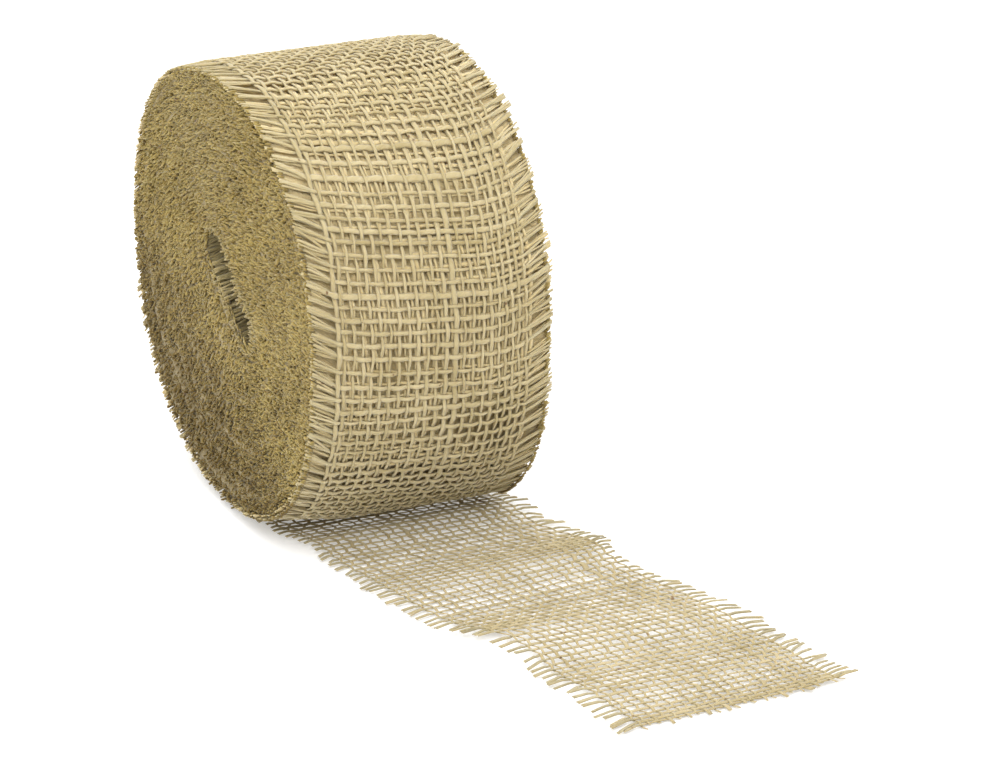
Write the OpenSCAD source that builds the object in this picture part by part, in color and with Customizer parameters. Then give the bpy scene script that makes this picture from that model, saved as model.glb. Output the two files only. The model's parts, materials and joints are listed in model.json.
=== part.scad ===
// A roll of open-weave jute ribbon with fringed edges. It is wound on itself round a flattened eye,
// with no core and no flanges, and its loose tail lies flat along the table.
// Origin: the point of the table under the roll's axis. +Y runs along that axis, the tail runs out
// along +X, and +Z is up.

/* [Ribbon] */
// Width of the ribbon, from fringe tip to fringe tip
ribbon_w = 60; // [50:1:70]
// Bare length of the pick ends beyond the outermost warp yarn
fringe = 6; // [4:0.5:8]
// Number of warp yarns across the ribbon
warp_count = 23; // [19:2:25]
// Distance from pick to pick along the ribbon
pick_gap = 3.1; // [2.4:0.1:4]
// Width of a yarn, pressed flat
yarn_w = 1; // [0.7:0.05:1.1]
// Thickness of a yarn, pressed flat
yarn_t = 0.7; // [0.5:0.05:0.8]

/* [Roll] */
// Radius of the roll over the picks of its top turn
roll_r = 54; // [48:0.5:62]
// Length of the flattened eye
eye_l = 32; // [24:1:36]
// Width of the flattened eye
eye_w = 9.5; // [8:0.5:12]
// Angle of the eye below +X, in degrees
eye_tilt = 39; // [0:1:90]
// How far the eye lies off the roll's axis along +X
eye_x = 4.5; // [0:0.5:6]
// How far the eye lies above the roll's axis
eye_z = 2; // [0:0.5:4]
// Length of the ribbon's inner end that lies loose in the eye
inner_end_l = 14; // [8:1:18]

/* [Tail] */
// Distance from the roll's axis to the cut end of the tail
tail_l = 146; // [130:1:180]
// How far the flat stretch reaches back under the roll
tail_back = 12; // [8:1:16]
// Angle in plan by which the loose weave leans away from the roll
tail_lean = 12; // [0:1:15]
// Distance from the roll's axis to the line where the free end lifts
lift_x = 104; // [90:1:115]
// Bare length of the warp ends beyond the last pick
stub = 3; // [2:0.5:5]

/* [Clearances] */
// Gap between the roll and the ribbon laid under it
roll_clear = 0.3; // [0.2:0.1:1]
// Gap between yarns that lie on each other
lay_gap = 0.02; // [0.01:0.01:0.05]
// Gap between neighbouring groups of turns
turn_gap = 0.1; // [0.05:0.05:0.3]
// Gap along the ribbon where the free end is split off
lift_gap = 0.8; // [0.6:0.1:1.5]

/* [Hidden] */
$fn = 96;
woven_w = ribbon_w - 2 * fringe;
warp_gap = (woven_w - yarn_w) / (warp_count - 1);
yarn_step = yarn_t + lay_gap;
laid_t = 2 * yarn_t + lay_gap;
axis_z = laid_t + roll_clear + roll_r;
second_r = roll_r - 2 * yarn_step;
pack_r = second_r - 2 * yarn_step;
mat_r = second_r - yarn_step;
lean = tan(tail_lean);
laid_end = lift_x - lift_gap / 2;
free_start = lift_x + lift_gap / 2;

// Across the ribbon, warp yarn k lies this far from the middle
function warp_y(k) = (k - (warp_count - 1) / 2) * warp_gap;

// Warp yarns of the tail, side by side from x_from to x_to
module flat_warp(x_from, x_to) {
    for (k = [0 : warp_count - 1])
        translate([x_from, warp_y(k) + x_from * lean, 0])
            rotate([0, 0, tail_lean])
                translate([0, -yarn_w / 2, 0])
                    cube([(x_to - x_from) / cos(tail_lean), yarn_w, yarn_t]);
}

// Picks of the tail, across its warp yarns
module flat_picks(x_from, x_to) {
    count = floor((x_to - x_from - yarn_w) / pick_gap);
    margin = (x_to - x_from - yarn_w - count * pick_gap) / 2;
    for (i = [0 : count]) {
        x = x_from + margin + i * pick_gap;
        translate([x, x * lean - ribbon_w / 2, yarn_step])
            cube([yarn_w, ribbon_w, yarn_t]);
    }
}

// Puts its children on the roll's axis
module on_axis() {
    translate([0, 0, axis_z]) children();
}

// Warp yarns of one turn: rings whose outer radius is r
module turn_warp(r) {
    for (k = [0 : warp_count - 1])
        translate([0, warp_y(k), 0])
            rotate([90, 0, 0])
                rotate_extrude()
                    translate([r - yarn_t, -yarn_w / 2])
                        square([yarn_t, yarn_w]);
}

// Picks of one turn: straight yarns along the axis, evenly round it, whose outer radius is r
module turn_picks(r) {
    count = round(2 * PI * r / pick_gap);
    for (i = [0 : count - 1])
        rotate([0, i * 360 / count, 0])
            translate([r - yarn_t, -ribbon_w / 2, -yarn_w / 2])
                cube([yarn_t, ribbon_w, yarn_w]);
}

// Outline of a turn in the X-Z plane, from the flattened eye (part 0) to a full circle (part 1)
module turn_outline(part, grow) {
    r = eye_w / 2 + (pack_r - eye_w / 2) * part + grow;
    reach = (eye_l - eye_w) / 2 * (1 - part);
    translate([eye_x * (1 - part), eye_z * (1 - part)])
        rotate(-eye_tilt) {
            translate([-reach, 0]) circle(r);
            translate([reach, 0]) circle(r);
            if (reach > 0)
                square([2 * reach, 2 * r], center = true);
        }
}

// A drawing in the X-Z plane, carried from y = from to y = to
module across(from, to) {
    translate([0, to, 0])
        rotate([90, 0, 0])
            linear_extrude(to - from)
                children();
}

// A group of turns between two outlines, as wide as the weave
module turns(inside, outside) {
    on_axis()
        across(-woven_w / 2, woven_w / 2)
            difference() {
                turn_outline(outside, -turn_gap / 2);
                turn_outline(inside, inside == 0 ? 0 : turn_gap / 2);
            }
}

// The mat of cut pick ends that covers one end of the roll
module fringe_mat(from, to) {
    on_axis()
        across(from, to)
            difference() {
                circle(mat_r);
                turn_outline(0, 0);
            }
}

module laid_warp() {
    color("burlywood") flat_warp(-tail_back, laid_end);
}

module laid_picks() {
    color("wheat") flat_picks(-tail_back, laid_end);
}

module end_warp() {
    color("burlywood") flat_warp(free_start, tail_l);
}

module end_picks() {
    color("wheat") flat_picks(free_start, tail_l - stub);
}

module top_warp() {
    color("burlywood") on_axis() turn_warp(roll_r - yarn_step);
}

module top_picks() {
    color("wheat") on_axis() turn_picks(roll_r);
}

module second_warp() {
    color("tan") on_axis() turn_warp(second_r - yarn_step);
}

module second_picks() {
    color("tan") on_axis() turn_picks(second_r);
}

module outer_turns() {
    color("darkkhaki") turns(0.75, 1);
}

module middle_turns() {
    color("tan") turns(0.5, 0.75);
}

module inner_turns() {
    color("darkkhaki") turns(0.25, 0.5);
}

module core_turns() {
    color("peru") turns(0, 0.25);
}

// The first stretch of the ribbon, lying on the lower long wall of the eye
module inner_end() {
    color("wheat")
        on_axis()
            translate([eye_x, -woven_w / 2, eye_z])
                rotate([0, eye_tilt, 0])
                    translate([-inner_end_l * 0.8, 0, -eye_w / 2 + turn_gap])
                        cube([inner_end_l, woven_w, yarn_t]);
}

module near_fringe() {
    color("goldenrod") fringe_mat(-ribbon_w / 2, -woven_w / 2 - turn_gap);
}

module far_fringe() {
    color("goldenrod") fringe_mat(woven_w / 2 + turn_gap, ribbon_w / 2);
}

laid_warp();
laid_picks();
top_warp();
top_picks();
second_warp();
second_picks();
outer_turns();
middle_turns();
inner_turns();
core_turns();
inner_end();
near_fringe();
far_fringe();
end_warp();
end_picks();
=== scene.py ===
"""A roll of open-weave jute ribbon with fringed edges and a loose tail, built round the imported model."""

import json
import math

import bpy
import numpy as np
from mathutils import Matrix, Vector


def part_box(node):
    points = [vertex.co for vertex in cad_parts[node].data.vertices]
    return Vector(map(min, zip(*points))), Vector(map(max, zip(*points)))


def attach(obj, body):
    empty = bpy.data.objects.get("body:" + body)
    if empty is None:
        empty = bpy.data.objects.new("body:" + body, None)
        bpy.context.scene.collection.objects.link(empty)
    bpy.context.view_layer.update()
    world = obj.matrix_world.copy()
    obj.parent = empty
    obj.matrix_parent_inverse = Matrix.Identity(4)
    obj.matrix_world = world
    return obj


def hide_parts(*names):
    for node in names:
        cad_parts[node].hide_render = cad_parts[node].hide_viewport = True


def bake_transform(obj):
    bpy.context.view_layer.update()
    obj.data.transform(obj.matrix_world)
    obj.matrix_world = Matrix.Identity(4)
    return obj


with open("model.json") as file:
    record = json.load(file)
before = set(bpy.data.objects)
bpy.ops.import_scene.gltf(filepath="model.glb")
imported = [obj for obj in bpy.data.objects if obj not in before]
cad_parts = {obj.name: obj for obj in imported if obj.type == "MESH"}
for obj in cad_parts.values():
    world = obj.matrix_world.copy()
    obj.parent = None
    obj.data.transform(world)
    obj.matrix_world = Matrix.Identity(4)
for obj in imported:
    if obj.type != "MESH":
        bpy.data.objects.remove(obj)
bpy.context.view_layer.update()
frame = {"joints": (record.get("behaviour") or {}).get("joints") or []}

# ---- Top turn ----
# The outermost turn of the ribbon, wound by hand and held only by its clinging fibres: a plain weave of
# twisted two-ply jute, matt and a little hairy. Each yarn is a closed tube, pressed flatter than it is wide,
# and the turn is made as two halves, which meet under the roll and on top.

MM = 0.001
YARN_UV = "yarn"


def smooth_noise(rng, rows, at, cycles):
    """Random smooth curves, one a row: sine waves of these numbers of cycles over at = 0 to 1, each
    with a random phase, added up and scaled to a spread of about one."""
    phase = rng.uniform(0, 2 * np.pi, (rows, len(cycles), 1))
    turns = 2 * np.pi * np.asarray(cycles, float)[None, :, None]
    return np.sin(turns * at[:, None, :] + phase).sum(1) / math.sqrt(len(cycles) / 2)


def unevenness(rng, rows, at, length, unsteady=0.1, slubs=2):
    """How thick each yarn is along its length, about 1: slow and quick smooth noise, plus a few
    slubs, which are bell-shaped swellings some millimetres long."""
    slow = smooth_noise(rng, rows, at, [3, 5, 8])
    quick = smooth_noise(rng, rows, at, [19, 31, 47])
    middle = rng.uniform(0, 1, (rows, slubs, 1))
    width = rng.uniform(1.5, 8, (rows, slubs, 1)) * MM / length
    swell = rng.uniform(0, 1, (rows, slubs, 1)) ** 4
    bells = (swell * np.exp(-(((at[:, None, :] - middle) / width) ** 2))).sum(1)
    own = np.exp(rng.normal(0, 0.19, (rows, 1)))
    return own * (1 + unsteady * (0.6 * slow + 0.5 * quick) + 0.6 * bells)


def tubes(centre, up, width, thickness, along, tone, closed=False):
    """A group of like yarns: arrays of yarns by points. up is roughly square to the cloth."""
    return dict(centre=centre, up=up, width=width, thickness=thickness, along=along, tone=tone, closed=closed)


def part_of(yarns, rows=slice(None), points=slice(None)):
    """Some of a group's yarns, or a stretch of each of them."""
    keys = ("centre", "up", "width", "thickness", "along", "tone")
    return dict({k: yarns[k][rows, points] for k in keys}, closed=False)


def unit(v):
    """Vectors scaled to length one."""
    return v / np.maximum(np.linalg.norm(v, axis=-1, keepdims=True), 1e-12)


def yarn_mesh(name, groups, sides):
    """One mesh of many yarns. Round each centre line a skin point is
    centre + side * width / 2 * cos(a) + up * thickness / 2 * sin(a), for a in equal steps round the yarn.
    An open yarn ends in a flat cap. The UV map holds the distance along the yarn and the part round it."""
    points, quads, quad_uv, caps, cap_uv, tones, first = [], [], [], [], [], [], 0
    turn = np.arange(sides) * 2 * np.pi / sides
    for g in groups:
        c = g["centre"]
        if g["closed"]:
            run = unit(np.roll(c, -1, 1) - np.roll(c, 1, 1))
        else:
            run = unit(np.gradient(c, axis=1))
        up = unit(g["up"] - (g["up"] * run).sum(-1, keepdims=True) * run)
        side = np.cross(up, run)
        across = (side * g["width"][..., None] / 2)[:, :, None, :] * np.cos(turn)[:, None]
        above = (up * g["thickness"][..., None] / 2)[:, :, None, :] * np.sin(turn)[:, None]
        ring = c[:, :, None, :] + across + above
        count = ring.shape[0] * ring.shape[1] * sides
        at = first + np.arange(count).reshape(ring.shape[:3])
        ahead = np.roll(at, -1, 1) if g["closed"] else at[:, 1:]
        here = at if g["closed"] else at[:, :-1]
        quads.append(np.stack([here, np.roll(here, -1, 2), np.roll(ahead, -1, 2), ahead], -1).reshape(-1, 4))
        steps = here.shape[1]
        u = g["along"]
        u_next = u[:, 1:] if not g["closed"] else np.concatenate([u[:, 1:], 2 * u[:, -1:] - u[:, -2:-1]], 1)
        u0 = np.broadcast_to(u[:, :steps, None], here.shape)
        u1 = np.broadcast_to(u_next[:, :steps, None], here.shape)
        v0 = np.broadcast_to(np.arange(sides) / sides, here.shape)
        v1 = v0 + 1 / sides
        quad_uv.append(np.stack([u0, v0, u0, v1, u1, v1, u1, v0], -1).reshape(-1, 2))
        if not g["closed"]:
            ends = np.concatenate([at[:, 0, ::-1], at[:, -1, :]])
            caps.append(ends)
            end_u = np.concatenate([u[:, 0], u[:, -1]])
            round_ = np.broadcast_to(np.arange(sides) / sides, ends.shape)
            cap_uv.append(np.stack([np.broadcast_to(end_u[:, None], ends.shape), round_], -1).reshape(-1, 2))
        points.append(ring.reshape(-1, 3))
        tones.append(np.repeat(g["tone"].reshape(-1), sides))
        first += count
    corners = [q.ravel() for q in quads] + [c.ravel() for c in caps]
    quad_count = sum(len(q) for q in quads)
    cap_count = sum(len(c) for c in caps)
    starts = np.concatenate([np.arange(quad_count) * 4, quad_count * 4 + np.arange(cap_count) * sides])
    return mesh_object(name, np.concatenate(points), np.concatenate(corners), starts,
                       np.concatenate(quad_uv + cap_uv), np.concatenate(tones))


def mesh_object(name, points, corners, starts, uv, tone):
    """A Blender object from arrays: points, the points at the faces' corners, where each face starts,
    the UV of each corner, and each point's tone (0 dark, 1 light)."""
    mesh = bpy.data.meshes.new(name)
    mesh.vertices.add(len(points))
    mesh.vertices.foreach_set("co", np.asarray(points, np.float32).ravel())
    mesh.loops.add(len(corners))
    mesh.loops.foreach_set("vertex_index", np.asarray(corners, np.int32))
    mesh.polygons.add(len(starts))
    mesh.polygons.foreach_set("loop_start", np.asarray(starts, np.int32))
    mesh.update(calc_edges=True)
    mesh.validate()
    mesh.uv_layers.new(name=YARN_UV).data.foreach_set("uv", np.asarray(uv, np.float32).ravel())
    mesh.attributes.new("tone", "FLOAT", "POINT").data.foreach_set("value", np.asarray(tone, np.float32))
    mesh.polygons.foreach_set("use_smooth", np.ones(len(starts), bool))
    made = bpy.data.objects.new(name, mesh)
    bpy.context.scene.collection.objects.link(made)
    return made


def socket(tree, name, kind, way, value=None):
    """A node group's input or output, with its starting value."""
    made = tree.interface.new_socket(name=name, in_out=way, socket_type=kind)
    if value is not None:
        made.default_value = value
    return made


def join(tree, *pairs):
    """Links between sockets, each given as a pair: from, to."""
    for out, into in pairs:
        tree.links.new(out, into)


def math_node(tree, operation, a, b=None, c=None):
    """The output of a maths node whose inputs are numbers or other nodes' outputs."""
    n = tree.nodes.new("ShaderNodeMath")
    n.operation = operation
    for i, v in enumerate((a, b, c)):
        if v is None:
            continue
        if isinstance(v, (int, float)):
            n.inputs[i].default_value = v
        else:
            tree.links.new(v, n.inputs[i])
    return n.outputs[0]


def jute_group():
    """Twisted jute: fibres are noise stretched along the yarn and wound round it, blotches are slow
    noise through the object, and flecks are rare bits of bark. The grooves between the plies are painted
    darker than their crowns, as shade. tone shifts a whole yarn lighter or darker, and in places it also
    carries painted light and shade."""
    g = bpy.data.node_groups.new("Jute fibres", "ShaderNodeTree")
    socket(g, "Dark", "NodeSocketColor", "INPUT", (0.2, 0.13, 0.05, 1))
    socket(g, "Light", "NodeSocketColor", "INPUT", (0.7, 0.6, 0.4, 1))
    socket(g, "Fleck", "NodeSocketColor", "INPUT", (0.16, 0.09, 0.03, 1))
    socket(g, "Colour", "NodeSocketColor", "OUTPUT")
    socket(g, "Height", "NodeSocketFloat", "OUTPUT")
    socket(g, "Roughness", "NodeSocketFloat", "OUTPUT")
    inside = g.nodes.new("NodeGroupInput")
    out = g.nodes.new("NodeGroupOutput")
    uv = g.nodes.new("ShaderNodeUVMap")
    uv.uv_map = YARN_UV
    split = g.nodes.new("ShaderNodeSeparateXYZ")
    join(g, (uv.outputs[0], split.inputs[0]))
    along, around = split.outputs[0], split.outputs[1]
    twist = math_node(g, "MULTIPLY", math_node(g, "MULTIPLY_ADD", along, 210.0, around), 2 * math.pi)
    wound = g.nodes.new("ShaderNodeCombineXYZ")
    join(g, (math_node(g, "MULTIPLY", math_node(g, "COSINE", twist), 2.2), wound.inputs[0]),
         (math_node(g, "MULTIPLY", math_node(g, "SINE", twist), 2.2), wound.inputs[1]),
         (math_node(g, "MULTIPLY", along, 190.0), wound.inputs[2]))
    fibre = g.nodes.new("ShaderNodeTexNoise")
    fibre.inputs["Scale"].default_value = 1.7
    fibre.inputs["Detail"].default_value = 4
    fibre.inputs["Roughness"].default_value = 0.7
    join(g, (wound.outputs[0], fibre.inputs["Vector"]))
    plies = math_node(g, "ABSOLUTE", math_node(g, "SINE", twist))
    place = g.nodes.new("ShaderNodeTexCoord")
    blotch = g.nodes.new("ShaderNodeTexNoise")
    blotch.inputs["Scale"].default_value = 90
    blotch.inputs["Detail"].default_value = 3
    fleck = g.nodes.new("ShaderNodeTexNoise")
    fleck.inputs["Scale"].default_value = 420
    fleck.inputs["Detail"].default_value = 2
    join(g, (place.outputs["Object"], blotch.inputs["Vector"]),
         (place.outputs["Object"], fleck.inputs["Vector"]))
    tone = g.nodes.new("ShaderNodeAttribute")
    tone.attribute_name = "tone"
    share = math_node(g, "MULTIPLY_ADD", fibre.outputs[0], 1.5, -0.62)
    share = math_node(g, "ADD", share, math_node(g, "MULTIPLY_ADD", blotch.outputs[0], 0.8, -0.4))
    share = math_node(g, "ADD", share, math_node(g, "MULTIPLY_ADD", tone.outputs["Fac"], 0.9, -0.1))
    # Painted shade: the grooves between the plies are painted darker, their crowns lighter.
    share = math_node(g, "ADD", share, math_node(g, "MULTIPLY", plies, 0.12))
    clamp = g.nodes.new("ShaderNodeClamp")
    join(g, (share, clamp.inputs[0]))
    shade = g.nodes.new("ShaderNodeMix")
    shade.data_type = "RGBA"
    join(g, (clamp.outputs[0], shade.inputs["Factor"]), (inside.outputs["Dark"], shade.inputs["A"]),
         (inside.outputs["Light"], shade.inputs["B"]))
    rare = g.nodes.new("ShaderNodeMapRange")
    rare.inputs["From Min"].default_value = 0.71
    rare.inputs["From Max"].default_value = 0.76
    join(g, (fleck.outputs[0], rare.inputs["Value"]))
    bits = g.nodes.new("ShaderNodeMix")
    bits.data_type = "RGBA"
    join(g, (rare.outputs[0], bits.inputs["Factor"]), (shade.outputs["Result"], bits.inputs["A"]),
         (inside.outputs["Fleck"], bits.inputs["B"]))
    height = math_node(g, "MULTIPLY_ADD", plies, 0.6, fibre.outputs[0])
    join(g, (bits.outputs["Result"], out.inputs["Colour"]), (height, out.inputs["Height"]),
         (math_node(g, "MULTIPLY_ADD", fibre.outputs[0], -0.3, 0.95), out.inputs["Roughness"]))
    return g


JUTE_GROUP = jute_group()


def jute(name, dark, light, fleck=(0.16, 0.09, 0.035), bump=0.6, sheen=0.25):
    """A jute finish: the fibre group drives colour, roughness and bump of a matt, faintly sheeny surface."""
    m = bpy.data.materials.new(name)
    m.use_nodes = True
    t = m.node_tree
    shader = t.nodes["Principled BSDF"]
    group = t.nodes.new("ShaderNodeGroup")
    group.node_tree = JUTE_GROUP
    group.inputs["Dark"].default_value = (*dark, 1)
    group.inputs["Light"].default_value = (*light, 1)
    group.inputs["Fleck"].default_value = (*fleck, 1)
    bumps = t.nodes.new("ShaderNodeBump")
    bumps.inputs["Strength"].default_value = bump
    bumps.inputs["Distance"].default_value = 0.12 * MM
    join(t, (group.outputs["Colour"], shader.inputs["Base Color"]),
         (group.outputs["Roughness"], shader.inputs["Roughness"]),
         (group.outputs["Height"], bumps.inputs["Height"]), (bumps.outputs[0], shader.inputs["Normal"]))
    shader.inputs["Subsurface Weight"].default_value = 0.35
    shader.inputs["Subsurface Radius"].default_value = (1.0, 0.8, 0.5)
    shader.inputs["Subsurface Scale"].default_value = 0.7 * MM
    shader.inputs["Sheen Weight"].default_value = sheen
    shader.inputs["Sheen Roughness"].default_value = 0.5
    shader.inputs["Specular IOR Level"].default_value = 0.25
    return m


YARN = jute("jute_yarn", dark=(0.325, 0.255, 0.112), light=(0.505, 0.427, 0.253))


def finish_piece(piece, material):
    """Gives a piece its material and its place in the part's list of materials."""
    piece.data.materials.append(material)
    return piece


# The ribbon is a plain weave: each pick passes over one warp yarn and under the next, and the next
# pick does the opposite. Nothing else holds it, so the yarns wander and the picks bow.

joints = {j["name"]: j for j in frame["joints"]}
axis_x, _, axis_z = joints["roll_turns"]["pos_m"]
picks_low, picks_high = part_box("top_picks")
roll_r = (picks_high.x - picks_low.x) / 2
half_w = (picks_high.y - picks_low.y) / 2
warp_low, warp_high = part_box("top_warp")
half_weave = (warp_high.y - warp_low.y) / 2
WARP_COUNT = 23
PICK_GAP = 3.1 * MM
WARP_WIDTH = 0.80 * MM
PICK_WIDTH = 1.08 * MM
PRESSED = 0.54  # a yarn's thickness for its width
CRIMP = 0.25 * MM  # how far a yarn swings to each side of the cloth's middle


def warp_places(rng):
    """Where the warp yarns lie across the ribbon: even gaps, but the outermost two on the near edge
    lie close together, and the last quarter towards the far edge is drawn together."""
    k = np.arange(WARP_COUNT - 1)
    gap = 1 - 0.42 * (k == 0) - 0.2 * np.clip((k - 15) / 3, 0, 1) + rng.normal(0, 0.05, len(k))
    at = np.concatenate([[0], np.cumsum(gap)])
    inside = half_weave - WARP_WIDTH / 2
    return -inside + 2 * inside * at / at[-1]


def rolled_bow(v):
    """How far a pick on the roll runs ahead, round the roll, at v across it. It hangs in an uneven smile:
    lowest a quarter of the way in from the far edge, rising to both edges as a hyperbola, a little more
    near the near edge, and leaning steeply forward in both fringes."""
    off = v - 15 * MM
    smile = np.hypot(off, 4 * MM) - 4 * MM
    near = np.clip(-v - 5 * MM, 0, None)
    bare_near = np.clip(-v - half_weave + 0.5 * MM, 0, None)
    bare_far = np.clip(v - half_weave + 0.5 * MM, 0, None)
    return np.where(off < 0, 0.13, 0.22) * smile + 0.0031 / MM * near**2 + 0.32 * bare_near + 0.30 * bare_far


def weave(rng, place, warp_at, pick_at, bow, closed, per_gap, per_warp, length, splay=0.05, stubs=0.0,
          loft=1.0, fine=1.0, fray=1.0, zigzag=0.0, trim=0.25 * MM, short=None):
    """The warp yarns and picks of a stretch of cloth. place(s, v, h) puts a point that is s along, v across
    and h above the middle of the cloth. Yarn heights follow a cosine from crossing to crossing, the picks'
    against the warp's. Past the last warp a pick is bare, thins, leans as bow says, give or take its splay,
    and its plies fan out beside it by fray. stubs is how far the warp stands out past the first and last
    picks, loft scales how thick the cloth is and fine how wide its yarns are. zigzag is how far a yarn also
    swings to each side in the cloth from crossing to crossing. The picks are cut to length give or take trim,
    and short(pick_at) cuts them shorter at the near and far edges. Returns the groups of yarns."""
    picks, warps = len(pick_at), len(warp_at)
    lift = 1e-5
    step = np.arange(picks * per_gap if closed else (picks - 1) * per_gap + 1) / per_gap
    known = np.append(pick_at, pick_at[0] + length) if closed else pick_at
    flat_s = np.broadcast_to(np.interp(step, np.arange(len(known)), known), (warps, len(step))).copy()
    if stubs:
        past = np.array([0.35, 1.0])
        tail = rng.uniform(0.3, 1.3, (warps, 2, 1)) * stubs
        step = np.concatenate([-past[::-1] / 2, step, step[-1] + past / 2])
        flat_s = np.concatenate([flat_s[:, :1] - tail[:, 0] * past[::-1], flat_s,
                                 flat_s[:, -1:] + tail[:, 1] * past], 1)
    part = flat_s / length
    s = flat_s + bow(warp_at)[:, None]
    v = warp_at[:, None] + 0.09 * MM * smooth_noise(rng, warps, part, [11, 17, 29])
    sign = (-1.0) ** np.arange(warps)[:, None]
    h = loft * CRIMP * sign * np.cos(np.pi * step)[None, :]
    v = v + zigzag * sign * np.cos(np.pi * step)[None, :]
    centre = place(s, v, h)
    thick = unevenness(rng, warps, part, length, slubs=int(length / (45 * MM)))
    tone = 0.5 + 0.11 * rng.standard_normal((warps, 1)) + 0.08 * smooth_noise(rng, warps, part, [4, 7, 13])
    warp = tubes(centre, place(s, v, h + lift) - centre, WARP_WIDTH * fine * thick,
                 WARP_WIDTH * PRESSED * loft * thick**0.35, s + 0.37 * np.arange(warps)[:, None], tone, closed)

    cross = np.arange((warps - 1) * per_warp + 1) / per_warp
    inner = np.interp(cross, np.arange(warps), warp_at)
    inner_h = np.cos(np.pi * cross)
    bare = np.linspace(0, 1, 7)[1:]
    cut_near, cut_far = short(pick_at) if short else (0.0, 0.0)
    low_end = -half_w + (cut_near + rng.normal(0, trim, picks))[:, None]
    high_end = half_w - (cut_far + rng.normal(0, trim, picks))[:, None]
    low = warp_at[0] + (low_end - warp_at[0]) * bare[::-1][None, :]
    high = warp_at[-1] + (high_end - warp_at[-1]) * bare[None, :]
    v = np.concatenate([low, np.broadcast_to(inner, (picks, len(inner))), high], 1)
    fade = np.exp(-3 * bare)
    droop = rng.normal(-0.25, 0.14, (picks, 2, 1)) * MM
    sign = -((-1.0) ** np.arange(picks))[:, None]
    h = loft * np.concatenate([sign * CRIMP * fade[::-1] + droop[:, 0] * bare[::-1] ** 2,
                               sign * CRIMP * inner_h[None, :],
                               sign * CRIMP * inner_h[-1] * fade + droop[:, 1] * bare**2], 1)
    part = (v + half_w) / (2 * half_w)
    s = pick_at[:, None] + bow(v) + 0.09 * MM * smooth_noise(rng, picks, part, [2, 3, 5])
    s[:, 6:-6] = s[:, 6:-6] + zigzag * sign * inner_h[None, :]
    spread = rng.normal(0, splay, (picks, 2, 1))
    pair = (-1.0) ** np.arange(picks)[:, None] * rng.uniform(0, 0.07, (picks, 1))
    bare_low, bare_high = np.clip(warp_at[0] - v, 0, None), np.clip(v - warp_at[-1], 0, None)
    s = s + (spread[:, 0] + pair) * bare_low + (spread[:, 1] + pair) * bare_high
    plies = []
    for edge, off in ((slice(0, 7), bare_low), (slice(-7, None), bare_high)):
        for way in (-1, 1):
            opened = way * rng.uniform(0.04, 0.15, (picks, 1)) + 0.07 * rng.standard_normal((picks, 1))
            fan = fray * opened * off[:, edge]
            beside = way * 0.2 * MM * fine * np.clip(off[:, edge] / MM, 0, 1)
            curl = fray * 0.1 * MM * np.sin(off[:, edge] / (1.1 * MM) + rng.uniform(0, 6, (picks, 1)))
            at_s, at_v = s[:, edge] + fan + beside + curl, v[:, edge]
            at_h = h[:, edge] - 0.12 * MM * loft + 0.3 * curl
            line = place(at_s, at_v, at_h)
            size = 0.45 * PICK_WIDTH * fine * np.exp(rng.normal(0, 0.2, (picks, 1))) * (1 + 0 * at_s)
            shade = 0.5 + 0.16 * rng.standard_normal((picks, 1)) + 0 * at_s
            plies.append(tubes(line, place(at_s, at_v, at_h + lift) - line, size, 0.7 * size,
                               at_v + 0.29 * np.arange(picks)[:, None], shade))
    centre = place(s, v, h)
    thick = unevenness(rng, picks, part, 2 * half_w, slubs=1)
    ends = np.minimum(v - low_end, high_end - v)
    taper = 1 - 0.3 * np.clip((bare_low + bare_high) / MM, 0, 1) - 0.2 * np.clip(1 - ends / (0.5 * MM), 0, 1)
    tone = 0.5 + 0.11 * rng.standard_normal((picks, 1)) + 0.08 * smooth_noise(rng, picks, part, [1, 2, 3])
    pick = tubes(centre, place(s, v, h + lift) - centre, PICK_WIDTH * fine * thick * taper,
                 PICK_WIDTH * PRESSED * loft * thick**0.35 * taper, v + 0.53 * np.arange(picks)[:, None], tone)
    return warp, pick, *plies


def pick_places(rng, picks, length):
    """Where the picks lie along the ribbon: even gaps with slow swings and some scatter."""
    at = np.arange(picks + 1) / picks
    gap = 1 + 0.09 * smooth_noise(rng, 1, at[None, :-1], [2, 5, 9, 14])[0] + rng.normal(0, 0.05, picks)
    run = np.concatenate([[0], np.cumsum(gap)])
    return length * run[:-1] / run[-1]


def slack(angle, v):
    """How far the outer turns stand off a true circle, at an angle up from the front and v along the axis.
    The hand-wound roll is slightly square, by the squared sine of twice the angle, and fuller at the back, by
    minus the cosine less a little of its square. It bags out low at the front of its far end, by a bell shape,
    and a narrower bell is its weight spread on the tail in front of the lowest line, everywhere but the near
    end. Behind the top it is pressed in, by another bell, more towards the far end."""
    a = np.mod(angle, 2 * np.pi)
    bag = np.exp(-(((a - 5.55) / 0.36) ** 2)) * np.clip(0.5 + 0.5 * v / half_w, 0, 1.1) ** 2
    foot = np.exp(-(((a - 5.19) / 0.22) ** 2)) / (1 + np.exp(-(v + 19 * MM) / (4 * MM)))
    dip = np.exp(-(((a - 2.0) / 0.42) ** 2)) * (0.35 + 0.65 * np.clip(0.5 + 0.5 * v / half_w, 0, 1))
    oval = 1.4 * np.sin(2 * a) ** 2 - 0.775 * np.cos(a) - 0.325 * np.cos(a) ** 2
    return (oval + 2.9 * bag + 3.0 * foot - 2.1 * dip) * MM


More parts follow.
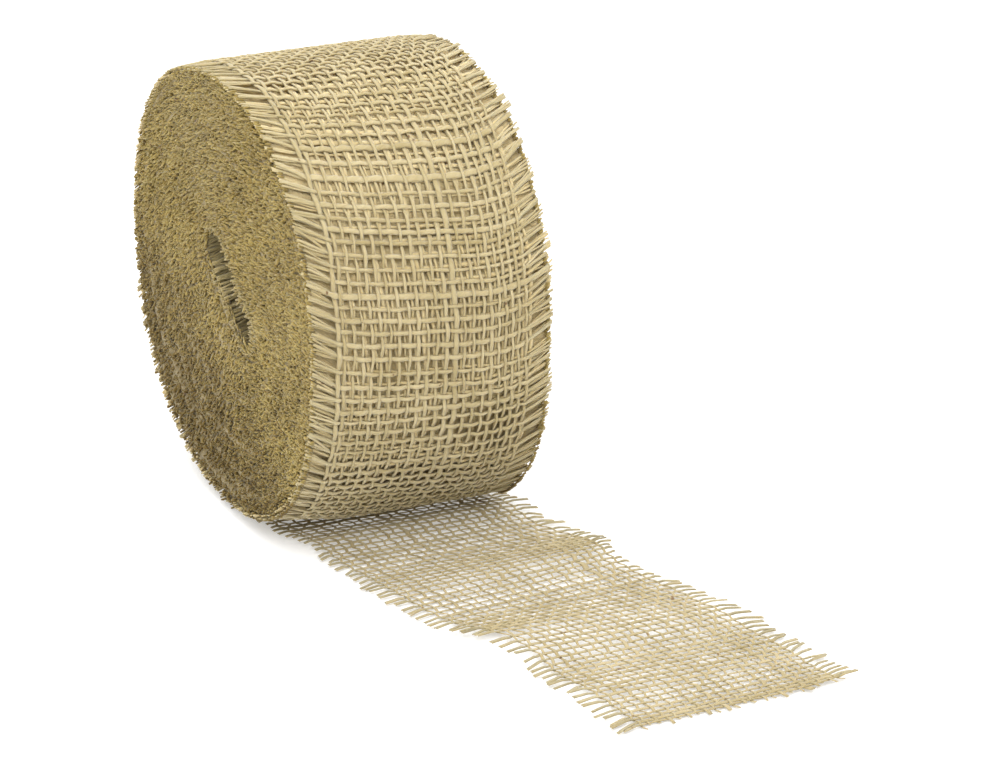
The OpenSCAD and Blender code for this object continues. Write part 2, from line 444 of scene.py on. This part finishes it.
def round_roll(rng, radius, loose=1.0):
    """A place() for one turn of the roll: s goes round the axis at that radius, up the front and over
    the top, v runs along the axis and h outwards. Slow sine waves shift the weave a little in its plane."""
    girth = 2 * np.pi * radius
    waves = [(n, m, rng.uniform(0, 2 * np.pi, 2)) for n, m in ((3, 30), (5, 55), (9, 80), (14, 20))]

    def place(s, v, h):
        shift = sum(np.sin(2 * np.pi * n * s / girth + m * v + p[0]) for n, m, p in waves)
        slide = sum(np.sin(2 * np.pi * n * s / girth - m * v + p[1]) for n, m, p in waves)
        angle = (s + loose * 0.22 * MM * shift) / radius - np.pi / 2
        r = radius + slack(angle, v) + h
        return np.stack([axis_x + r * np.cos(angle), v + loose * 0.14 * MM * slide + 0 * h,
                         axis_z + r * np.sin(angle)], -1)

    return place


top_rng = np.random.default_rng(7)
top_r = roll_r - CRIMP - PICK_WIDTH * PRESSED / 2
top_girth = 2 * np.pi * top_r
top_picks = 2 * round(top_girth / PICK_GAP / 2)
top_warp_at = warp_places(top_rng)
top_place = round_roll(top_rng, top_r)
top_warp, *top_rest = weave(top_rng, top_place, top_warp_at, pick_places(top_rng, top_picks, top_girth),
                            rolled_bow, True, 5, 4, top_girth)
half_picks = top_picks // 2
whole = {k: np.concatenate([top_warp[k], top_warp[k][:, :1]], 1)
         for k in ("centre", "up", "width", "thickness", "tone")}
whole["along"] = np.concatenate([top_warp["along"], top_warp["along"][:, :1] + top_girth], 1)
whole["closed"] = False
cut = half_picks * 5
front = yarn_mesh("top_turn_front", [part_of(whole, points=slice(0, cut + 1))]
                  + [part_of(g, slice(0, half_picks)) for g in top_rest], 6)
back = yarn_mesh("top_turn_back", [part_of(whole, points=slice(cut, None))]
                 + [part_of(g, slice(half_picks, None)) for g in top_rest], 6)
for piece, nodes in ((front, ["top_warp"]), (back, ["top_picks"])):
    finish_piece(piece, YARN)
    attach(piece, "roll")
    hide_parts(*nodes)

# ---- Second turn ----
# The turn under the top one, seen through the gaps of the weave, where its yarns half fill them.

# Painted light: the second turn is given a paler copy of the yarn, so the shade in the gaps of the weave reads
# lighter.
UNDER_YARN_PAINTED_LIGHT = jute("jute_yarn_under", dark=(0.40, 0.31, 0.135), light=(0.63, 0.515, 0.285))
TURN_STEP = 0.74 * MM  # how far one turn's cloth lies inside the next one's
second_rng = np.random.default_rng(11)
second_r = top_r - TURN_STEP
second_girth = 2 * np.pi * second_r
second_picks = 2 * round(second_girth / PICK_GAP / 2)
second_yarns = weave(second_rng, round_roll(second_rng, second_r, 1.6), warp_places(second_rng) + 0.95 * MM,
                     pick_places(second_rng, second_picks, second_girth), rolled_bow, True, 3, 3, second_girth)
# Painted light: the second turn's yarns are painted paler towards the top, where the light falls from above.
for g in second_yarns:  # a little paler on top
    g["tone"] = g["tone"] + 0.4 * np.clip((g["centre"][..., 2] - axis_z) / second_r, 0, 1) ** 3
second = yarn_mesh("second_turn", second_yarns, 5)
finish_piece(second, UNDER_YARN_PAINTED_LIGHT)
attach(second, "roll")
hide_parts("second_warp", "second_picks")

# ---- Packed turns ----
# The rest of the ribbon, some fifty turns wound so tight that only the third one's weave and the hollow's
# wall can be seen. It is one solid with a flattened hole, the eye, where the winder's spindle was.

EYE_LONG, EYE_WIDE = 32 * MM, 9.5 * MM
EYE_TILT = math.radians(39)
EYE_X, EYE_Z = 4.5 * MM, 2 * MM
MAT_DEPTH = 0.9 * MM  # how far the cut ends stand out of the solid pack
packed_r = second_r - TURN_STEP
# Painted light and shade: this yarn's wide span from dark to light serves the packed turns' tone, set below.
PACKED_YARN = jute("jute_yarn_packed", dark=(0.17, 0.12, 0.035), light=(0.62, 0.50, 0.27))


def turn_path(part, u, grow=0.0, v=0.0):
    """The line of a turn: part is 0 at the eye and 1 at the outside, and u from 0 to 1 goes once round it.
    It is a slot shape, two half circles joined by straights, whose straights shrink as its radius grows
    until it is a circle round the roll's axis, give or take the slack at v along the axis. Returns x, z and
    the outward normal's x, z."""
    r = EYE_WIDE / 2 + (packed_r - EYE_WIDE / 2) * part + grow
    reach = (EYE_LONG - EYE_WIDE) / 2 * np.clip(1 - part, 0, 1)
    d = u * (2 * np.pi * r + 4 * reach)
    turned = np.clip((d - reach) / r, 0, np.pi) + np.clip((d - 3 * reach) / r - np.pi, 0, np.pi)
    slid = (np.clip(d, 0, reach) - np.clip(d - reach - np.pi * r, 0, 2 * reach)
            + np.clip(d - 3 * reach - 2 * np.pi * r, 0, reach))
    nx, nz = np.sin(turned), -np.cos(turned)
    r = r + slack(turned - np.pi / 2 - EYE_TILT, v) * part**2
    x, z = slid + r * nx, r * nz
    c, s = math.cos(EYE_TILT), math.sin(EYE_TILT)
    return (axis_x + EYE_X * (1 - part) + x * c + z * s, axis_z + EYE_Z * (1 - part) - x * s + z * c,
            nx * c + nz * s, -nx * s + nz * c)


def weave_relief(s, v, gap, warp_at):
    """The height of woven cloth at s along and v across: the higher of the nearest warp yarn and the nearest
    pick, each a half ellipse across its width whose middle rises and sinks as a cosine."""
    k = np.interp(v, warp_at, np.arange(len(warp_at)))
    near_k = np.round(k)
    off = v - np.interp(near_k, np.arange(len(warp_at)), warp_at)
    wave = (-1.0) ** near_k * np.cos(np.pi * s / gap)
    bare = np.abs(off) > WARP_WIDTH / 2
    warp = CRIMP * wave + 0.26 * MM * np.sqrt(np.clip(1 - (2 * off / WARP_WIDTH) ** 2, 0, 1)) - 9 * MM * bare
    n = np.round(s / gap)
    off = s - n * gap
    wave = -((-1.0) ** n) * np.cos(np.pi * k)
    bare = np.abs(off) > PICK_WIDTH / 2
    pick = CRIMP * wave + 0.28 * MM * np.sqrt(np.clip(1 - (2 * off / PICK_WIDTH) ** 2, 0, 1)) - 9 * MM * bare
    return np.maximum(np.maximum(warp, pick), -0.45 * MM)


packed_rng = np.random.default_rng(13)
packed_warp_at = warp_places(packed_rng)
mat_y = half_w - MAT_DEPTH
around = 424
u = np.arange(around + 1) / around
girth = 2 * np.pi * packed_r
gap = girth / (2 * round(girth / PICK_GAP / 2))
across_y = np.concatenate([np.linspace(-mat_y, -half_weave, 6)[:-1], np.linspace(-half_weave, half_weave, 70),
                           np.linspace(half_weave, mat_y, 6)[1:]])
V, U = np.meshgrid(across_y, u, indexing="ij")
s = girth * U - rolled_bow(V) + 0.4 * gap
rise = weave_relief(s, V, gap, packed_warp_at)
x, z, nx, nz = turn_path(1.0, U, v=V)
skin = np.stack([x + nx * rise, V, z + nz * rise], -1)
skin_uv = np.stack([V, s / PICK_WIDTH], -1)
part = np.linspace(1, 0, 34)[1:-1]
P, U = np.meshgrid(part, u, indexing="ij")
dent = 0.25 * MM * (np.sin(40 * P + 6 * np.pi * U) + np.sin(71 * P - 10 * np.pi * U))
x, z, _, _ = turn_path(P, U, 1.3 * MM * (1 - P), mat_y)
far_face = np.stack([x, mat_y + dent, z], -1)
x, z, _, _ = turn_path(P, U, 1.3 * MM * (1 - P), -mat_y)
near_face = np.stack([x, -mat_y - dent, z], -1)[::-1]
face_uv = np.stack([P * 0.05, P * 50 + 0 * U], -1)
wall_y = np.linspace(mat_y, -mat_y, 40)
V, U = np.meshgrid(wall_y, u, indexing="ij")
x, z, _, _ = turn_path(0.0, U, 1.3 * MM)
wall = np.stack([x, V, z], -1)
wall_uv = np.stack([V, 75 * U], -1)
ring = np.concatenate([skin, far_face, wall, near_face])
ring_uv = np.concatenate([skin_uv, face_uv, wall_uv, face_uv[::-1]])
ring[:, -1] = ring[:, 0]


def ring_mesh(name, points, uv, tone):
    """A closed ring from a grid: the rows run round its section, the first after the last, and the columns
    go once round the roll, the last over the first, where the two are joined."""
    rows, cols = points.shape[:2]
    at = np.arange(rows * (cols - 1)).reshape(rows, cols - 1)
    ahead = np.roll(at, -1, 0)
    quads = np.stack([at, np.roll(at, -1, 1), np.roll(ahead, -1, 1), ahead], -1).reshape(-1, 4)
    cell = np.arange(rows * cols).reshape(rows, cols)
    ahead = np.roll(cell, -1, 0)
    corner = np.stack([cell[:, :-1], cell[:, 1:], ahead[:, 1:], ahead[:, :-1]], -1).reshape(-1)
    return mesh_object(name, points[:, :-1].reshape(-1, 3), quads.ravel(), np.arange(len(quads)) * 4,
                       uv.reshape(-1, 2)[corner], tone)


# Painted light and shade: the skin, seen through the gaps of two turns, is painted light, and paler still on
# top where the light falls from above; the end faces under the cut ends are painted dark, as the shade between
# the plies.
lit_and_shaded_rows = np.repeat([0.7, 0.1, 0.5, 0.1], [len(skin), len(part), len(wall), len(part)])
lit_and_shaded_ring = np.repeat(lit_and_shaded_rows[:, None], around, 1)
lit_and_shaded_ring[:len(skin)] += 0.35 * np.clip(nz[:, :-1], 0, 1) ** 3  # a little paler on top
packed = ring_mesh("packed_turns", ring, ring_uv, lit_and_shaded_ring.ravel())
finish_piece(packed, PACKED_YARN)
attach(packed, "roll")
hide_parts("outer_turns", "middle_turns", "inner_turns", "core_turns")

# ---- Lining of the eye ----
# The first turn of the ribbon, which was wound on the flat spindle and still keeps its shape. Its weave
# lines the hollow, and its picks' ends fringe both rims.

# Painted shade: the lining and the inner end are given a darker, flatter copy of the yarn, for the shade deep
# in the eye.
EYE_SHADE_YARN = jute("jute_yarn_pressed", dark=(0.30, 0.235, 0.10), light=(0.39, 0.312, 0.145))
lining_rng = np.random.default_rng(17)
lining_out = 0.55 * MM
lining_girth = 2 * np.pi * (EYE_WIDE / 2 + lining_out) + 2 * (EYE_LONG - EYE_WIDE)
lining_picks = 2 * round(lining_girth / (0.46 * PICK_GAP) / 2)  # pressed close by the winding


def line_the_eye(s, v, h):
    """place() for the first turn: s goes round the eye's wall and h points into the hollow."""
    x, z, nx, nz = turn_path(0.0, np.mod(s / lining_girth, 1), lining_out)
    return np.stack([x - nx * h, v + 0 * h, z - nz * h], -1)


lining = yarn_mesh("eye_lining", weave(lining_rng, line_the_eye, warp_places(lining_rng),
                                       pick_places(lining_rng, lining_picks, lining_girth),
                                       lambda v: 0.4 * rolled_bow(v), True, 6, 3, lining_girth, loft=0.4), 5)
finish_piece(lining, EYE_SHADE_YARN)
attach(lining, "roll")

# ---- Inner end ----
# The ribbon's own first end, a short tongue that has sprung loose from the lining and lies along the
# lower wall of the eye.

inner_rng = np.random.default_rng(19)
INNER_END = 15 * MM


def lie_in_the_eye(s, v, h):
    """place() for the tongue: s runs down along the eye's length from near its upper end, and h goes up from
    the lower wall, from which the tongue lifts as the square of s."""
    along = s - 0.8 * INNER_END
    rise = -EYE_WIDE / 2 + 1.0 * MM + 2.0 * MM * (1 - s / INNER_END) ** 2 + h
    c, t = math.cos(EYE_TILT), math.sin(EYE_TILT)
    x = axis_x + EYE_X + along * c + rise * t
    return np.stack([x, v + 0 * h, axis_z + EYE_Z - along * t + rise * c], -1)


inner = yarn_mesh("inner_end_tongue", weave(inner_rng, lie_in_the_eye, warp_places(inner_rng),
                                            np.linspace(0, INNER_END, 9), lambda v: 0.3 * rolled_bow(v),
                                            False, 5, 3, INNER_END, stubs=1.5 * MM, loft=0.6), 5)
# Painted shade: the tongue has the eye's darker copy of the yarn.
finish_piece(inner, EYE_SHADE_YARN)
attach(inner, "roll")
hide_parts("inner_end")

# ---- Cut ends ----
# The fringes of all the turns, packed side by side, make a mat at each end of the roll. What shows is the
# last millimetre of some three thousand cut picks, each untwisted into about five frayed plies.

CUT_ENDS = jute("jute_cut_ends", dark=(0.155, 0.103, 0.022), light=(0.42, 0.32, 0.10))
TURNS = 50
PLY_GAP = 0.66 * MM
run_t = np.linspace(0, 1 + 1.3 / TURNS, (TURNS + 1) * 300)
run_x, run_z, _, _ = turn_path(run_t, np.mod(run_t * TURNS, 1), 0.4 * MM)
run_s = np.concatenate([[0], np.cumsum(np.hypot(np.diff(run_x), np.diff(run_z)))])


def on_the_spiral(s, face):
    """The point and normal of the wound ribbon's line at s along it, from the eye outwards, at one end of
    the roll: face is -1 at the near end and 1 at the far one."""
    t = np.interp(s, run_s, run_t)
    return turn_path(t, np.mod(t * TURNS, 1), 0.4 * MM, face * half_w)


def looseness_and_painted_shade(x, z):
    """Low down at the back the turns are looser: a straight ramp across the roll's end, from 0 to 1. The same
    ramp sets the painted shade that darkens the cut ends and their stray fibres there.
    """
    return np.clip(-0.9 * (0.5 * x / roll_r + (z - axis_z) / roll_r + 0.2), 0, 1)


def ends_mat(name, rng, face, inner, outer):
    """A ring of frayed plies between two lengths along the spiral: each starts in the pack, leans forward
    along its turn as it stands out, and narrows a little. Slow waves and each turn's own height, of the size
    of a quarter of a millimetre, roughen the mat. Low down at the back the turns are looser, so the plies
    are less even and stand lower, and the innermost ones fall across the eye; there the plies are also
    painted darker, as shade. Each ply is painted darker at its root than at its tip, as the shade deep in
    the mat. Those of the last turn are shorter and lean alike."""
    s = np.arange(inner, outer, PLY_GAP)
    s = s + rng.normal(0, 0.25, len(s)) * MM
    t = np.interp(s, run_s, run_t)
    count = len(s)
    turn = (t * TURNS).astype(int)
    own_y = np.sin(turn * 2.4) * 0.13 * MM
    x, z, _, _ = on_the_spiral(s, face)
    loose = looseness_and_painted_shade(x, z)
    outer = np.clip((t - 0.97) * TURNS, 0, 1)[:, None]
    depth = np.array([0.0, 0.6, 1.0])[None, :] * (
        MAT_DEPTH + 0.3 * MM + rng.normal(0, 0.2, count) * MM * (1 + 2 * loose) - 0.5 * MM * loose + own_y
        + 0.18 * MM * np.sin(23 * t + 5 * np.sin(2 * np.pi * TURNS * t)))[:, None]
    depth = depth * (1 - (0.1 if face < 0 else 0.35) * outer)
    lean = 0.5 + rng.normal(0, 0.6, (count, 1)) * (1 - 0.7 * outer)
    x, z, nx, nz = on_the_spiral(s[:, None] + lean * depth, face)
    fall = np.where(z[:, :1] < axis_z + EYE_Z + 5 * MM, 2.2, 0.6) * np.exp(-((t * TURNS / 2) ** 2))[:, None]
    splay = rng.normal(-0.1, 0.45, (count, 1)) * (1 - outer) - 0.15 * outer
    out = rng.normal(0, 0.2, (count, 1)) * MM * (1 - 0.6 * outer) + (splay - fall) * depth
    centre = np.stack([x + nx * out, face * (mat_y - 0.3 * MM + depth), z + nz * out], -1)
    up = np.stack([nx, 0 * nx, nz], -1)
    narrowing = np.array([1.0, 0.95, 0.5]) + np.array([0, 0, 0.4]) * outer
    size = np.exp(rng.normal(0, 0.25, (count, 1))) * narrowing
    # Painted shade: the plies are painted darker low at the back of the roll's end, by the ramp.
    tone = 0.45 + 0.14 * rng.standard_normal((count, 1)) + (0.08 * np.sin(turn * 1.7) - 1.25 * loose)[:, None]
    # Painted shade: each ply is darker at its root in the mat and lighter at its tip.
    tone = tone + np.array([-0.2, 0.0, 0.2])
    along = np.broadcast_to(depth + rng.uniform(0, 1, (count, 1)), (count, 3))
    mat = yarn_mesh(name, [tubes(centre, up, 0.6 * MM * size, 0.52 * MM * size, along, tone)], 4)
    finish_piece(mat, CUT_ENDS)
    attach(mat, "roll")
    return mat


mat_end = run_s[-1]
for side, face in (("near", -1), ("far", 1)):
    inner_mat = ends_mat(side + "_cut_ends_inner", np.random.default_rng(25 + face), face, 0, 0.5 * mat_end)
    ends_mat(side + "_cut_ends_outer", np.random.default_rng(45 + face), face, 0.5 * mat_end, mat_end)
    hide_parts(side + "_fringe")


def stray_fibres(rng, root, out, length, thick=0.085 * MM, shade=0.0):
    """Loose fibres: each leaves its root mostly outwards and bends as the square of the distance, with a
    small wave, in directions of its own. It thins towards its tip. shade lowers its tone, as painted shade."""
    count = len(root)
    t = np.linspace(0, 1, 6)[None, :, None]
    outward = unit(out)[:, None, :] * rng.uniform(0.1, 0.8, (count, 1, 1))
    first = unit(outward + unit(rng.normal(size=(count, 1, 3))) * 0.8)
    bend = unit(rng.normal(size=(count, 1, 3)))
    wave = unit(rng.normal(size=(count, 1, 3)))
    length = rng.uniform(0.3, 1, (count, 1, 1)) ** 1.5 * length
    line = root[:, None, :] + length * (first * t + 0.4 * bend * t**2 + 0.06 * wave * np.sin(9 * t))
    size = thick * rng.uniform(0.7, 1.3, (count, 1)) * (1 - 0.6 * t[..., 0])
    tone = np.broadcast_to(rng.uniform(0.5, 1.2, (count, 1)) - np.reshape(shade, (-1, 1)), size.shape)
    along = np.broadcast_to(t[..., 0] * 5 * MM, size.shape)
    return tubes(line, np.broadcast_to(wave, line.shape), size, size, along, tone)


def mat_fibres(name, rng, face, count):
    """Fibres shed by the cut ends, rooted all over a mat: most of them short, one in seven long. Low at the
    back of the roll's end they are painted darker, as shade.
    """
    groups = []
    for some, length, thick in ((count, 1.9 * MM, 0.13 * MM), (count // 6, 3.8 * MM, 0.1 * MM)):
        x, z, _, _ = on_the_spiral(rng.uniform(2 * MM, 0.93 * mat_end, some), face)
        root = np.stack([x, np.full(some, face * (half_w - 0.15 * MM)), z], -1)
        out = np.broadcast_to([0.0, 0.35 * face, 0.0], root.shape)
        groups.append(stray_fibres(rng, root, out, length, thick, 1.1 * looseness_and_painted_shade(x, z)))
    fibres = yarn_mesh(name, groups, 3)
    finish_piece(fibres, CUT_ENDS)
    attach(fibres, "roll")


mat_fibres("near_stray_fibres", np.random.default_rng(37), -1, 3000)
mat_fibres("far_stray_fibres", np.random.default_rng(41), 1, 3000)

# ---- Fuzz on the top turn ----
# Single fibres that have worked out of the yarns and stand off the cloth. Two long pale ones have come to
# lie across the near fringe and across the cut ends above the eye.

fuzz_rng = np.random.default_rng(43)
fuzz_s = fuzz_rng.uniform(0, top_girth, 420)
fuzz_v = fuzz_rng.uniform(-half_w, half_w, 420)
fuzz_root = top_place(fuzz_s, fuzz_v, 0.45 * MM + 0 * fuzz_s)
fuzz_out = top_place(fuzz_s, fuzz_v, 2 * MM + 0 * fuzz_s) - fuzz_root
at = np.linspace(0, 1, 9)
on_fringe = top_place((147.6 + 3.4 * at) * MM, (-26.2 + 5.0 * at + 0.5 * np.sin(5 * at)) * MM,
                      (1.0 + 0.5 * np.sin(3.1 * at)) * MM)
on_ends = np.stack([axis_x + (-37 + 9.1 * at) * MM, -half_w - (0.6 + 0.5 * np.sin(3.1 * at)) * MM,
                    axis_z + (16.5 + 4.8 * at + 0.4 * np.sin(4 * at)) * MM], -1)
long_ones = np.stack([on_fringe, on_ends])
size = np.array([[0.17], [0.11]]) * MM * (1 - 0.4 * at)
hairs = tubes(long_ones, np.broadcast_to([0.0, -0.3, 1.0], long_ones.shape), size, size, size * 40,
              np.full(size.shape, 1.8))
fuzz = yarn_mesh("top_turn_fuzz", [stray_fibres(fuzz_rng, fuzz_root, fuzz_out, 2.6 * MM, 0.07 * MM), hairs], 3)
finish_piece(fuzz, YARN)
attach(fuzz, "roll")

# ---- Unrolled tail ----
# The last hand's breadth of ribbon, pulled off under the roll. It lies on the table a little askew, in
# low waves, its mesh open in some places and drawn together in others, and its end is roughly cut.

fold_x, _, _ = joints["free_end_lift"]["pos_m"]
_, tail_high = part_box("end_warp")
laid_low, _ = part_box("laid_warp")
TAIL_END = tail_high.x
TAIL_BACK = -laid_low.x
UNDER_ROLL = 0.34 * MM  # height of the cloth's middle where the roll presses it
LAID_HIGH = 0.60 * MM  # and where it lies free
BARE_RISE = 0.4 * MM  # how much higher its bare ends are
tail_rng = np.random.default_rng(31)
tail_len = TAIL_END + TAIL_BACK


def bell(x, middle, width):
    """A bell shape, one at its middle: e to minus the square of the distance over the width."""
    return np.exp(-(((x - middle) / width) ** 2))


def smooth_line(x, stations, values):
    """A value at x from values at stations, all in millimetres: straight lines between the stations, their
    corners rounded by averaging over three places two millimetres apart."""
    stations, values = np.array(stations) * MM, np.array(values) * MM
    return sum(np.interp(x + d, stations, values) for d in (-2 * MM, 0, 2 * MM)) / 3


def lie_on_table(s, v, h):
    """place() for the tail: s is along the table from under the roll's axis. The near and far selvages follow
    two lines over the table, the cloth lies evenly between them, and the bare ends go on past them. Its picks
    are crowded together in two places and spread in a third, by a shift along it that falls as a bell shape's
    slope, and its height is a sum of bell-shaped waves. Before zero it climbs the back of the roll just
    outside the top turn."""
    h = h + BARE_RISE * np.clip((np.abs(v) - half_weave) / MM, 0, 1)
    x = np.clip(s, 0, None)
    share = v / half_weave
    inside = np.clip(share, -1, 1)
    far, near = np.clip(0.5 + 0.5 * inside, 0, 1), np.clip(0.5 - 0.5 * inside, 0, 1)
    x = x - 0.55 * np.clip(v - half_weave, 0, None) / (1 + np.exp((116 * MM - x) / (4 * MM)))
    crowded = ((58, 13, 7.0, far**1.5), (88, 6, 4.0, near**2), (70, 9, -3.0, 1 - far))
    for middle, width, push, where in crowded:
        d = (x - middle * MM) / (width * MM)
        x = x - push * MM * d * np.exp(-(d**2)) * where
    low = smooth_line(x, (0, 20, 40, 50, 60, 70, 80, 88, 93, 100, 110, 120, 140, 150),
                      (-25.6, -21.5, -18.2, -16.2, -13.4, -11.8, -10.0, -6.0, -1.2, -0.6, 0.5, 1.6, 4.6, 5.6))
    high = smooth_line(x, (0, 30, 40, 50, 60, 70, 80, 88, 100, 110, 120, 140, 150),
                       (26.5, 31.3, 32.6, 35.2, 38.6, 39.8, 42.3, 45.4, 46.4, 48.8, 51, 54, 56))
    y = low + (high - low) * (0.5 + 0.5 * inside) + (v - half_weave * inside)
    y = y + 0.3 * MM * np.sin(x / (9 * MM) + 2 * share) + 0.2 * MM * np.sin(x / (4 * MM) + 1)
    z = UNDER_ROLL + (LAID_HIGH - UNDER_ROLL) / (1 + np.exp((17 * MM - x) / (2.5 * MM)))
    z = z + 1.5 * MM * bell(x, 58 * MM, 9 * MM) * far + 1.2 * MM * bell(x, 88 * MM, 6 * MM) * near
    z = z + 0.7 * MM * bell(x, 28 * MM, 6 * MM) + 0.9 * MM * bell(x, fold_x - 2 * MM, 7 * MM)
    z = z + 0.7 * MM * bell(x, 124 * MM, 8 * MM) * (0.6 - 0.4 * share)
    z = z + 1.3 * MM * np.clip((x - 132 * MM) / (14 * MM), 0, 2) ** 2 * np.clip(share, 0, 1) ** 2
    z = z + h
    round_r = axis_z - UNDER_ROLL - h - 0.6 * MM * np.clip(-s / TAIL_BACK, 0, 1) ** 2
    angle = np.clip(s, None, 0) / axis_z
    back = s < 0
    return np.stack([np.where(back, axis_x + round_r * np.sin(angle), x), y,
                     np.where(back, axis_z - round_r * np.cos(angle), z)], -1)


def laid_bow(v):
    """The tail's picks are straight; their bare ends lean a little towards the cut end."""
    return 0.22 * np.clip(-v - half_weave + 1 * MM, 0, None) + 0.30 * np.clip(v - half_weave + 1 * MM, 0, None)


def worn_short(s):
    """How much shorter the bare ends are, in smooth steps and bell shapes along the tail: near the roll they
    are worn to stubs at the near edge, and at the far edge they are worn most in the middle of the tail."""
    near = (2.0 / (1 + np.exp((s - 52 * MM) / (3 * MM))) + 1.6 / (1 + np.exp((s - 12 * MM) / (4 * MM)))) * MM
    return 0.9 * MM + near, (1.3 + 1.4 * bell(s, 20 * MM, 18 * MM) + 2.6 * bell(s, 68 * MM, 24 * MM)) * MM


TAIL_PICKS = 72
# Painted shade: the tail is given a darker copy of the same yarn, for the shade among its thin, flat yarns.
TAIL_YARN_PAINTED_SHADE = jute("jute_yarn_loose", dark=(0.265, 0.205, 0.085), light=(0.455, 0.378, 0.22))
spaces = 1 + 0.07 * smooth_noise(tail_rng, 1, np.linspace(0, 1, TAIL_PICKS - 1)[None], [2, 3, 5, 8])[0]
spaces = spaces * (1 - 0.35 * bell(np.arange(TAIL_PICKS - 1), TAIL_PICKS - 1, 4))
spaces = spaces * (1 + 0.06 * tail_rng.standard_normal(TAIL_PICKS - 1))
tail_picks_at = -TAIL_BACK + (tail_len - 2.5 * MM) * np.concatenate([[0], np.cumsum(spaces)]) / spaces.sum()
tail = yarn_mesh("tail_cloth", weave(tail_rng, lie_on_table, warp_places(tail_rng), tail_picks_at, laid_bow,
                                     False, 4, 4, tail_len, splay=0.12, stubs=2.0 * MM, loft=0.55, fine=0.92,
                                     fray=0.2, zigzag=0.16 * MM, trim=0.5 * MM, short=worn_short), 6)
finish_piece(tail, TAIL_YARN_PAINTED_SHADE)
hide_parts("laid_warp", "laid_picks", "end_warp", "end_picks")
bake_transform(tail)

# ---- Stage, camera and light ----
# A plain pale table, a little self-lit so that the cloth's holes stay light, one soft lamp at the front right,
# and a sky that is brightest overhead.

floor_mesh = bpy.data.meshes.new("floor")
floor_mesh.from_pydata([(-6, -6, 0), (6, -6, 0), (6, 6, 0), (-6, 6, 0)], [], [(0, 1, 2, 3)])
floor = bpy.data.objects.new("floor", floor_mesh)
bpy.context.scene.collection.objects.link(floor)
pale = bpy.data.materials.new("pale_floor")
pale.use_nodes = True
top_coat = pale.node_tree.nodes["Principled BSDF"].inputs
top_coat["Base Color"].default_value = (0.7, 0.7, 0.7, 1)
top_coat["Roughness"].default_value = 0.9
top_coat["Emission Color"].default_value = (1, 1, 1, 1)
top_coat["Emission Strength"].default_value = 0.35
floor.data.materials.append(pale)

camera_data = bpy.data.cameras.new("camera")
camera = bpy.data.objects.new("camera", camera_data)
bpy.context.scene.collection.objects.link(camera)
bpy.context.scene.camera = camera
turned, raised, distance = math.radians(63.8), math.radians(22.7), 1.092
look_at = np.array([0.0224, 0.0313, 0.0297])
level = math.cos(raised)
back_way = np.array([math.sin(turned) * level, -math.cos(turned) * level, math.sin(raised)])
camera.location = look_at + distance * back_way
camera.rotation_euler = (math.pi / 2 - raised, 0, turned)
camera_data.sensor_width = 36
camera_data.lens = 166.3
camera_data.clip_start = 0.05

world = bpy.data.worlds.new("studio")
bpy.context.scene.world = world
world.use_nodes = True
sky = world.node_tree
heading = sky.nodes.new("ShaderNodeTexCoord")
parts = sky.nodes.new("ShaderNodeSeparateXYZ")
climb = sky.nodes.new("ShaderNodeMapRange")
climb.inputs["To Min"].default_value = 0.30
climb.inputs["To Max"].default_value = 2.35
join(sky, (heading.outputs["Generated"], parts.inputs[0]), (parts.outputs[2], climb.inputs["Value"]),
     (climb.outputs[0], sky.nodes["Background"].inputs["Strength"]))
sky.nodes["Background"].inputs["Color"].default_value = (1, 1, 1, 1)


def softbox(name, at, size, power):
    """A square lamp that faces the roll."""
    data = bpy.data.lights.new(name, "AREA")
    data.size, data.energy = size, power
    lamp = bpy.data.objects.new(name, data)
    bpy.context.scene.collection.objects.link(lamp)
    lamp.location = at
    way = np.array([0.03, 0.02, 0.05]) - np.array(at)
    lamp.rotation_euler = (math.atan2(math.hypot(way[0], way[1]), -way[2]), 0, math.atan2(-way[0], way[1]))


softbox("key", (0.40, -0.20, 0.48), 0.3, 1.4)
bpy.context.scene.view_settings.view_transform = "Standard"
